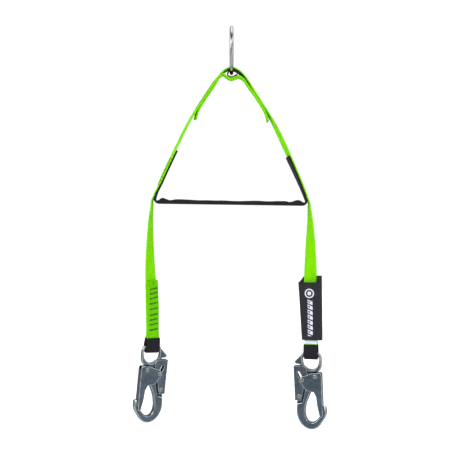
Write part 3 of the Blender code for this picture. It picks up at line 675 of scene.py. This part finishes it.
# Loop sleeves. Black tubular webbing slid over each loop where it rubs on the steel eye, open at both
# ends, held by the loop passing through it.
SLEEVE_RISE, LOOP_COVER_WIDTH = 18.5 * MM, 27.1 * MM


def belled(along, wide, tall, length):
    """The cut ends open a little more than the rest."""
    near = np.exp(-np.minimum(along, length - along) / (2.5 * MM))
    return wide * (1 + 0.015 * near), tall * (1 + 0.10 * near)


for side in ("left", "right"):
    low = np.where(leg_rows[side][1][:, 2] < eye[side][2] + SLEEVE_RISE)[0]
    even, *fields = (field[low[0]:low[-1] + 1] for field in leg_rows[side])
    even = even - even[0]
    cover = woven(f"{side}_loop_cover", (even, *fields), selvedge(LOOP_COVER_WIDTH, 4.9 * MM), rib=0.02,
                  pitch=FINE_RIB, shape=lambda *place: belled(*place, even[-1]), ends=False)
    work(cover, "SOLIDIFY", thickness=0.8 * MM, offset=-1)
    file_piece(cover, f"{side}_leg", black, "black_webbing", f"{side}_loop_sleeve")

# Stitching. Dark green bonded thread. One stitch is modelled and copied along every seam: slanted rows
# and a short line on each lap, three lines down the yoke over each tab and each side of the keeper, and
# a few short stitches on the yoke's edge beside the left-hand tab.
thread = Finish("dark_thread", Roughness=0.6, Specular_IOR_Level=0.1)
fibre = thread.blend(thread.noise(900), tone(0.001, 0.012, 0.008), tone(0.004, 0.038, 0.028))
thread.feed("Base Color", fibre)
single = take("stitch", "uv_sphere", segments=10, ring_count=7, radius=1)
single_points = points_of(single) * [0.5, 0.6 * MM, 0.36 * MM]
single_faces = [tuple(face.vertices) for face in single.data.polygons]
bpy.data.objects.remove(single, do_unlink=True)
sewn = {}


def sew(body, ends, outward):
    """Adds a stitch from one place to another, lying on a face that looks outward."""
    a, b = (np.array(e) for e in ends)
    long = np.linalg.norm(b - a)
    way = (b - a) / long
    beside_way = np.cross(np.array(outward), way)
    beside_way /= np.linalg.norm(beside_way)
    frame_of = np.stack([way * long, beside_way, np.cross(way, beside_way)])
    sewn.setdefault(body, []).append((a + b) / 2 + single_points @ frame_of)


def seam(body, rows, along, side, lift, pitch=2.9 * MM, share=0.78):
    """Stitches along a line on a strap, given as its places along the strap and to one side."""
    ends = [np.array(spot(rows, a, w, lift)) for a, w in zip(along, side)]
    gone = np.concatenate(([0], np.cumsum([np.linalg.norm(q - p) for p, q in zip(ends, ends[1:])])))
    for start in np.arange(0, gone[-1] - 0.7 * pitch, pitch):
        pair = [np.array([np.interp(t, gone, v) for v in np.array(ends).T])
                for t in (start, start + share * pitch)]
        place = np.interp(start, gone, along)
        outward = [np.interp(place, rows[0], v) for v in rows[3].T]
        sew(body, pair, outward)


ON_WEB = WEB_THICK / 2 + 0.12 * MM
lap_row_heights = (112.0, 103.4, 94.7, 84.6, 74.1, 63.1, 53.7, 45.0, 34.8)      # mm above the eye
lap_rise = {}
for side in ("left", "right"):
    even, middle = leg_rows[side][:2]
    rise = (middle - eye[side]) @ hook_z[side]
    after = even > even[np.argmin(rise)]
    lap_rise[side] = (rise[after], even[after])
    s = sign[side]
    for up in lap_row_heights:
        for line in (-0.9, 0, 0.9):
            ups = [(up + line - 1.6) * MM, (up + line + 1.6) * MM]
            along = np.interp(ups, *lap_rise[side])
            seam(f"{side}_leg", leg_rows[side], along, np.array([-7.2, 10.4]) * MM * s, ON_WEB * s)
    top = np.interp([118 * MM, 126 * MM], *lap_rise[side])
    seam(f"{side}_leg", leg_rows[side], top, np.array([1.0, 1.0]) * MM * s, ON_WEB * s)
    for column in (-8, 0, 8):
        for low, high in ((0.1395, 0.1155), (0.066, 0.030)):
            along = np.interp([s * low, s * (low + high) / 2, s * high], yoke_rows[1][:, 0], yoke_rows[0])
            seam("yoke", yoke_rows, along, [column * MM] * 3, -ON_WEB)
along = np.interp([-0.139, -0.125, -0.11], yoke_rows[1][:, 0], yoke_rows[0])
seam("yoke", yoke_rows, along, [-12.5 * MM] * 3, -0.5 * MM, pitch=7.6 * MM, share=0.3)
for body, stitches in sewn.items():
    size = len(single_points)
    faces = [tuple(v + i * size for v in face) for i in range(len(stitches)) for face in single_faces]
    mesh = bpy.data.meshes.new(f"{body}_stitching")
    mesh.from_pydata(np.vstack(stitches).tolist(), [], faces)
    stitching = bpy.data.objects.new(f"{body}_stitching", mesh)
    scene.collection.objects.link(stitching)
    mesh.shade_smooth()
    file_piece(stitching, body, thread, "black_webbing")

# Label cover. A black nylon pouch round the right-hand lap: a back panel folded forward at both edges,
# and a front flap hinged on its left fold and held shut at its right by hook and loop tape.
nylon = Finish("cover_cloth", Specular_IOR_Level=0.35)
across_print, up_print, face_print = nylon.split(nylon.attribute("run", "Vector"))
weave = (across_print * (math.tau / 0.0011)).sine() * (up_print * (math.tau / 0.0011)).sine()
round_mark = ((across_print + 0.0005) ** 2 + (up_print - 0.1163) ** 2) ** 0.5
circle = abs(round_mark - 0.0078) < 0.0011
dot = abs(round_mark - 0.0015) < 0.0022
slant = (up_print + across_print * 0.45) / 0.0095
from_block = abs((slant - slant.floor()) - 0.5)
band = (abs(up_print - 0.0697) < 0.0345) * (abs(across_print - 0.0006) < 0.0047) * (from_block < 0.36)
inner = (from_block < 0.14) * (abs(across_print + 0.0012) < 0.0018)
marks = ((circle + dot + band * (1.0 - inner)).clamped() * face_print).clamped()
cloth = nylon.blend(nylon.noise(45, 4), tone(0.003, 0.0034, 0.006), tone(0.011, 0.0125, 0.02))
nylon.feed("Base Color", nylon.blend(marks, cloth, tone(0.68, 0.72, 0.80)))
nylon.feed("Roughness", (0.5 + 0.2 * nylon.noise(240)).clamped())
nylon.bump(weave + 1.2 * nylon.noise(900, 2), 0.00005, 0.7)
COVER_BASE, COVER_TOP, FLAP_TOP, FLAP_WIDE = 27.5 * MM, 149.5 * MM, 137.5 * MM, 43 * MM


def on_cover(x, y, up):
    """A place in the right-hand leg's own frame: across it, towards the viewer and above the eye."""
    return (eye["right"] + np.outer(x, hook_x["right"]) + np.outer(y, facing["right"])
            + np.outer(up, hook_z["right"]))


def face_outward(merge=0.0):
    """Joins the active piece's points that are closer than merge, and turns its faces outward."""
    bpy.ops.object.mode_set(mode="EDIT")
    bpy.ops.mesh.select_all(action="SELECT")
    if merge:
        bpy.ops.mesh.remove_doubles(threshold=merge)
    bpy.ops.mesh.normals_make_consistent(inside=False)
    bpy.ops.object.mode_set(mode="OBJECT")


def panel(name, path, base, top, wall, shape, cells=96):
    """A cloth panel over a path across the leg, raised from base to top and given its thickness."""
    path = np.array(path) * MM
    gone = np.concatenate(([0], np.cumsum(np.linalg.norm(np.diff(path, axis=0), axis=1))))
    count = int(gone[-1] / (0.6 * MM))
    piece = take(name, "grid", x_subdivisions=count, y_subdivisions=cells, size=2)
    flat = points_of(piece)
    run, rise = (flat[:, 0] + 1) / 2 * gone[-1], (flat[:, 1] + 1) / 2
    x, y = (np.interp(run, gone, v) for v in path.T)
    x, y, up, printed = shape(x, y, base + (top - base) * rise, run / gone[-1])
    put_points(piece, on_cover(x, y, up))
    piece.data.attributes.new("run", "FLOAT_VECTOR", "POINT")
    work(piece, "SOLIDIFY", thickness=wall, offset=0)
    # the wall's two faces share their places along the panel, and only its front one is printed
    depth = (points_of(piece) @ facing["right"]).reshape(2, -1)
    seen_face = (depth > depth.mean(0)) * printed
    values = np.stack([np.tile(x, 2), np.tile(up, 2), seen_face.ravel()], 1)
    piece.data.attributes["run"].data.foreach_set("vector", values.ravel())
    face_outward()
    bpy.ops.object.shade_smooth_by_angle(angle=math.radians(50))
    return piece


def narrowed(x, up):
    """The cover draws in at its left towards the bottom."""
    low = 1 - np.clip((up - COVER_BASE) / (FLAP_TOP - COVER_BASE), 0, 1)
    return x + 5.5 * MM * low * np.clip((12 * MM - x) / (33.5 * MM), 0, 1)


def back_shape(x, y, up, _):
    """The back is cut off at its top left corner and waves a little behind the leg."""
    corner_cut = np.clip((-12.5 * MM - x) / (9 * MM), 0, 1) * 12 * MM
    up = COVER_BASE + (up - COVER_BASE) * (1 - corner_cut / (COVER_TOP - COVER_BASE))
    wave = 0.35 * MM * np.sin(up / (14 * MM) + x / (9 * MM)) * (y < -4 * MM)
    return narrowed(x, up), y + wave, up, 0 * x


def flap_shape(x, y, up, share):
    """The flap has a hem all round and bellies out over the lap."""
    near = np.minimum(np.minimum(up - COVER_BASE, FLAP_TOP - up), np.minimum(share, 1 - share) * FLAP_WIDE)
    hem = 0.35 * MM * (1 - rising((near - 2.6 * MM) / (0.8 * MM)))
    puff = 0.9 * MM * np.sin(math.pi * share) ** 2 * (0.6 + 0.4 * np.sin(up / (17 * MM)))
    return narrowed(x, up), y + hem + puff, up, 0 * x + 1


def plain_shape(x, y, up, _):
    """The tapes lie flat."""
    return x, y, up, 0 * x


back_path = [(-21.5, 5.8), (-21.5, -3.4), (-21.2, -4.6), (-20.4, -5.2), (-19.4, -5.4), (19.4, -5.4),
             (20.4, -5.2), (21.2, -4.6), (21.5, -3.4), (21.5, 2.2), (21.2, 3.2), (20.4, 3.6), (19.4, 3.7),
             (13.5, 3.7)]
back_panel = panel("cover_back", back_path, COVER_BASE, COVER_TOP, 1 * MM, back_shape)
file_piece(back_panel, "right_leg", nylon, "black_webbing", "label_cover")
flap = panel("cover_front", [(-21.5, 6.9), (21.5, 6.9)], COVER_BASE, FLAP_TOP, 1 * MM, flap_shape)
file_piece(flap, "cover_flap", nylon, "black_webbing", "label_cover_flap")
nap = Finish("hook_and_loop", Roughness=0.9)
nap.feed("Base Color", nap.blend(nap.noise(1600, 2), tone(0.004, 0.004, 0.006), tone(0.03, 0.03, 0.04)))
nap.bump(nap.noise(1500, 2), 0.0003, 1.0)
for name, node, y, body in (("hook_tape", "cover_hook_tape", 4.55, "right_leg"),
                            ("loop_tape", "cover_loop_tape", 6.05, "cover_flap")):
    tape = panel(name, [(14.3, y), (20.5, y)], COVER_BASE + 6 * MM, FLAP_TOP - 6 * MM, 0.6 * MM,
                 plain_shape)
    file_piece(tape, body, nap, "black_webbing", node)

# Label booklet. Printed white polyester sewn to the front of the lap under the cover, its lower end
# showing below it. The print is plain grey lines.
paper = Finish("label_paper", Roughness=0.5)
print_across, print_up, _ = paper.split(paper.attribute("run", "Vector"))
row = print_up / 0.0024
lines = (abs(row - row.floor() - 0.5) < 0.16) * (abs(print_across) < 0.0095)
words = paper.noise(420, 1, paper.node("ShaderNodeVectorMath", {"operation": "MULTIPLY"},
                                       {0: paper.place(), 1: (1.0, 1.0, 0.25)})) > 0.46
paper.feed("Base Color", paper.blend(lines * words * 0.5, tone(0.72, 0.78, 0.90), tone(0.25, 0.28, 0.35)))
paper.bump(paper.noise(120), 0.0001, 0.4)
LABEL_WIDE = 24.5 * MM
label_ends = np.interp([19.5 * MM, 120 * MM], *lap_rise["right"])
even, middle, across, out = part_of(leg_rows["right"], *label_ends)
label_rows = (even - even[0], middle + out * (WEB_THICK / 2 + 0.45 * MM), across, out)
label = woven("label", label_rows, selvedge(LABEL_WIDE, 0.6 * MM, turns=2))
file_piece(label, "right_leg", paper, "white_label", "label_booklet")

# Snap hooks. Each has a forged steel body with an eye, a web and a bow, a pressed gate and lock lever
# on rivets, all zinc plated. They are modelled once in the hook's own plane and copied to each leg.
eye_outer = [(0, 4.0), (10, 3.9), (16.5, 2.2), (20.0, -3.5), (20.6, -14), (19.6, -26), (15, -32.4),
             (7.5, -34.4), (0, -34.8), (-8, -34.2), (-16, -31.2), (-20.2, -24), (-20.6, -14), (-20.0, -3.5),
             (-16.5, 2.2), (-10, 3.9)]
eye_hole = [(0, -4.0), (13.2, -4.2), (15.2, -6.6), (15.0, -14), (12.2, -22.5), (6.5, -27.4), (0, -28.6),
            (-6.5, -27.4), (-12.2, -22.5), (-15.0, -14), (-15.2, -6.6), (-13.2, -4.2)]
web_outline = [(-18.5, -1.2), (-32.2, -14.6), (-30.8, -19.2), (-17.5, -20.6), (-16.2, -34), (-10.5, -40),
               (-9.5, -50), (-13, -57), (-21, -61), (-26.2, -68), (-27, -80), (-28.2, -96), (-10, -96),
               (0, -72), (9, -60), (16.2, -46), (17, -36), (0, -30), (-15.5, -21), (-17.8, -8)]
bow_outline = [(-11.5, -64), (-14.6, -80), (-17.6, -91.5), (-28.3, -94), (-28.6, -113), (-25.4, -124.5),
               (-15, -138), (-1, -143.2), (11.5, -139.5), (21.5, -127.5), (28.3, -115.5), (29.4, -107),
               (27.8, -99), (25.6, -97.4), (24.0, -99), (22.6, -106.5), (15.8, -117.4), (12.4, -121.6),
               (8, -126.2), (3, -128.8), (-3, -128.8), (-8, -124.2), (-11, -114), (-10.6, -103),
               (-7.6, -90), (-1, -75), (3.5, -66), (2, -62)]


def plate(name, outline, thick, bevel=0.0, rounded=(), hole=()):
    """A plate in the hook's plane: its outline drawn flat, given its thickness and stood up."""
    drawn = bpy.data.curves.new(name, "CURVE")
    drawn.dimensions, drawn.fill_mode = "2D", "BOTH"
    drawn.resolution_u, drawn.bevel_resolution = 10, 4
    drawn.extrude, drawn.bevel_depth, drawn.offset = (thick / 2 - bevel) * MM, bevel * MM, -bevel * MM
    for edge_points, soft in ((outline, rounded), (hole, range(len(hole)))):
        if edge_points:
            line = drawn.splines.new("BEZIER")
            line.bezier_points.add(len(edge_points) - 1)
            line.use_cyclic_u = True
            for i, (knot, (x, z)) in enumerate(zip(line.bezier_points, edge_points)):
                knot.co = (x * MM, z * MM, 0)
                knot.handle_left_type = knot.handle_right_type = "AUTO" if i in soft else "VECTOR"
    piece = bpy.data.objects.new(name, drawn)
    scene.collection.objects.link(piece)
    choose(piece)
    bpy.ops.object.convert(target="MESH")
    piece = bpy.context.object
    piece.rotation_euler = (math.radians(90), 0, 0)
    bpy.context.view_layer.update()
    settle(piece)
    face_outward(merge=0.000002)
    return piece


def shape_with(piece, tool, operation):
    """Joins a second solid to a piece or cuts it away, and clears the tool."""
    work(piece, "BOOLEAN", operation=operation, object=tool, solver="EXACT")
    bpy.data.objects.remove(tool, do_unlink=True)


def pressed(piece, grain, passes):
    """Rounds every edge and inner corner a little, as forging and pressing leave them."""
    work(piece, "REMESH", mode="VOXEL", voxel_size=grain * MM, use_smooth_shade=True)
    work(piece, "SMOOTH", factor=0.5, iterations=passes)


def edges_and_hollows(piece, reach=0.30 * MM):
    """Returns how sharply each point stands out from, or lies back from, its surroundings."""
    kept = points_of(piece)
    normals = np.empty(len(kept) * 3)
    piece.data.vertices.foreach_get("normal", normals)
    work(piece, "SMOOTH", factor=0.5, iterations=26)
    proud = ((kept - points_of(piece)) * normals.reshape(-1, 3)).sum(1)
    put_points(piece, kept)
    return np.clip(proud / reach, -1, 1)


def humps(distance, width):
    """A soft ridge this far from its line."""
    return np.exp(-(distance / width) ** 2)


def hook_copy(model, name, side):
    """A copy of a piece modelled in the hook's plane, put in its place on a leg."""
    piece = bpy.data.objects.new(name, model.data.copy())
    scene.collection.objects.link(piece)
    turn = Matrix(np.stack([hook_x[side], hook_y[side], hook_z[side]], 1).tolist()).to_4x4()
    piece.data.transform(Matrix.Translation(Vector(eye[side])) @ turn)
    return piece


forging = plate("forging", eye_outer, 8.0, bevel=3.0, rounded=range(16), hole=eye_hole)
shape_with(forging, plate("web", web_outline, 6.4, bevel=0.6, rounded=(4, 5, 6, 7, 8)), "UNION")
shape_with(forging, plate("bow", bow_outline, 12.4, bevel=3.2, rounded=range(5, 26)), "UNION")
pressed(forging, 0.62, 3)
# The zinc finish lightens the proud edges (wear and painted highlight) and darkens the hollows (painted
# shade).
mark_points(forging, "wear_and_painted_light", edges_and_hollows(forging))
grip = points_of(forging)
x, y, z = (grip / MM).T
spine = (np.clip((abs(y) - 4.2) / 1.4, 0, 1) * (x < -12) * np.clip((z + 119) / 2.5, 0, 1)
         * np.clip((-99.5 - z) / 2.5, 0, 1))
knurl = 0.24 * spine * (np.sin(x * 2.6 + z * 2.6) * np.sin(x * 2.6 - z * 2.6) + 0.25)
grip[:, 1] += np.sign(y) * knurl * MM
put_points(forging, grip)

# Gates. Pressed channels on a rivet through the web, open to the back so that the bow's nose closes
# inside the front end. A coined rib stiffens each cheek.
gate_outline = [(-22.4, -51), (-21.2, -45.6), (-16.5, -42.6), (-3, -38.2), (2.5, -35.2), (18.4, -34.6),
                (20.4, -36.4), (22.1, -96), (22.5, -112), (21.4, -117.4), (19.2, -118.6), (16.6, -117),
                (12.2, -98), (10.0, -80), (5.3, -71.2), (-8.4, -68.6), (-18.5, -56.4)]
gate_room = [(-40, -20), (40, -20), (40, -41.0), (18.7, -41.0), (20.3, -96.4), (40, -96.4), (40, -130),
             (-40, -130)]
gate = plate("gate", gate_outline, 17.0)
shape_with(gate, plate("gate_room", gate_room, 13.4), "DIFFERENCE")
pressed(gate, 0.5, 2)
cheek = points_of(gate)
x, y, z = (cheek / MM).T
# The back wall of the gate's channel is marked lower still, so that the plating is painted darker there as
# painted shade.
back_wall = np.clip((x - 17) / 1.5, 0, 1) * np.clip((7.2 - abs(y)) / 0.8, 0, 1)
mark_points(gate, "wear_and_painted_light", edges_and_hollows(gate) - 0.4 * back_wall)
rib = 0.32 * humps(x - 8.3, 0.8) * np.clip((-50 - z) / 2, 0, 1) * np.clip((z + 72) / 2, 0, 1)
dish = -0.25 * humps(np.hypot(x + 2, z + 52), 7)
cheek[:, 1] += np.sign(y) * (rib + dish) * (abs(y) > 6) * MM
put_points(gate, cheek)

# Lock levers. Narrower channels on a second rivet. A slanted slot in each cheek guides the gate's
# catch pin, so that the gate opens only while the lever is squeezed.
lever_outline = [(-33.4, -22.6), (-15, -23.0), (-9.4, -25.6), (-7.0, -31), (-8.2, -41), (-11.5, -56),
                 (-15.0, -68), (-17.0, -80), (-19.6, -88.2), (-31.0, -89.2)]
lever_room = [(-32.0, -10), (10, -10), (10, -100), (-29.6, -100)]


def slot_outline(first, last, radius, steps=8):
    """A slot from one centre to another with round ends."""
    way = math.atan2(last[1] - first[1], last[0] - first[0])
    points = []
    for (x, z), start in ((last, way - math.pi / 2), (first, way + math.pi / 2)):
        turns = start + math.pi * np.arange(steps + 1) / steps
        points += [(x + radius * math.cos(t), z + radius * math.sin(t)) for t in turns]
    return points


lever = plate("lever", lever_outline, 12.6)
shape_with(lever, plate("lever_room", lever_room, 9.8), "DIFFERENCE")
shape_with(lever, plate("slot", slot_outline((-17.3, -49.3), (-24.0, -36.0), 3.0), 40), "DIFFERENCE")
pressed(lever, 0.45, 2)
mark_points(lever, "wear_and_painted_light", edges_and_hollows(lever))
flank = points_of(lever)
x, y, z = (flank / MM).T
swage = 0.35 * humps(np.hypot(x + 19, (z + 30) * 0.9) - 6.5, 1.0) * (z > -33) * (abs(y) > 4)
flank[:, 1] += np.sign(y) * swage * MM
put_points(lever, flank)

# Rivets. Plain steel, turned, with low domed heads closed over the cheeks. The catch pin has the same
# heads and rides on the gate.
def turned_piece(name, profile):
    """A turned part drawn up from a disc through each (radius, height)."""
    radius, height = profile[0]
    piece = take(name, "circle", vertices=36, radius=radius * MM, fill_type="NGON",
                 location=(0, 0, height * MM))
    bpy.ops.object.mode_set(mode="EDIT")
    bpy.ops.mesh.select_all(action="SELECT")
    for (r0, z0), (r1, z1) in zip(profile, profile[1:]):
        bpy.ops.mesh.extrude_region_move(TRANSFORM_OT_translate={"value": (0, 0, (z1 - z0) * MM)})
        bpy.ops.transform.resize(value=(r1 / r0, r1 / r0, 1))
    bpy.ops.object.mode_set(mode="OBJECT")
    face_outward()
    settle(piece)
    bpy.ops.object.shade_smooth_by_angle(angle=math.radians(28))
    return piece


def rivet(name, at, shank, inside):
    """A rivet across the hook with a head outside each cheek, inside being the width between heads."""
    half = inside / 2
    head = [(0.9, 1.75), (2.3, 1.62), (3.5, 1.25), (4.3, 0.7), (4.6, 0.35), (4.6, 0.0)]
    top = [(r, half + h) for r, h in head] + [(shank, half)]
    piece = turned_piece(name, [(r, -h) for r, h in top] + top[::-1])
    laid = Matrix.Rotation(math.radians(90), 4, "X")
    piece.data.transform(Matrix.Translation((at[0] * MM, 0, at[1] * MM)) @ laid)
    return piece


rivets = {"gate_rivet": (rivet("gate_rivet", (8.6, -41.0), 3.0, 17.7), "hook"),
          "lever_rivet": (rivet("lever_rivet", (-22.2, -80.5), 3.0, 13.3), "hook"),
          "catch_pin": (rivet("catch_pin", (-17.3, -49.0), 2.5, 17.7), "gate_unit")}
plain = Finish("rivet_steel", Metallic=1.0, IOR=2.4)
turning = plain.noise(520, 4)
plain.feed("Base Color", plain.blend(turning, tone(0.10, 0.11, 0.115), tone(0.34, 0.35, 0.34)))
plain.feed("Roughness", 0.16 + 0.2 * turning)
plain.bump(plain.noise(1200, 2), 0.00003, 0.4)
plated = ((forging, "hook_forging", "hook", "hook_body"), (gate, "gate_pressing", "gate_unit", "gate"),
          (lever, "lever_pressing", "lever_unit", "lock_lever"))
for side in ("left", "right"):
    for model, name, body, node in plated:
        file_piece(hook_copy(model, f"{side}_{name}", side), f"{side}_{body}", zinc,
                   "zinc_plated_steel", f"{side}_{node}")
    for name, (model, body) in rivets.items():
        file_piece(hook_copy(model, f"{side}_{name}_turned", side), f"{side}_{body}", plain,
                   "polished_steel", f"{side}_{name}")
    for name in ("gate_spring", "lever_spring"):
        refinish(f"{side}_{name}", plain)
for model in (forging, gate, lever, *(model for model, _ in rivets.values())):
    bpy.data.objects.remove(model, do_unlink=True)
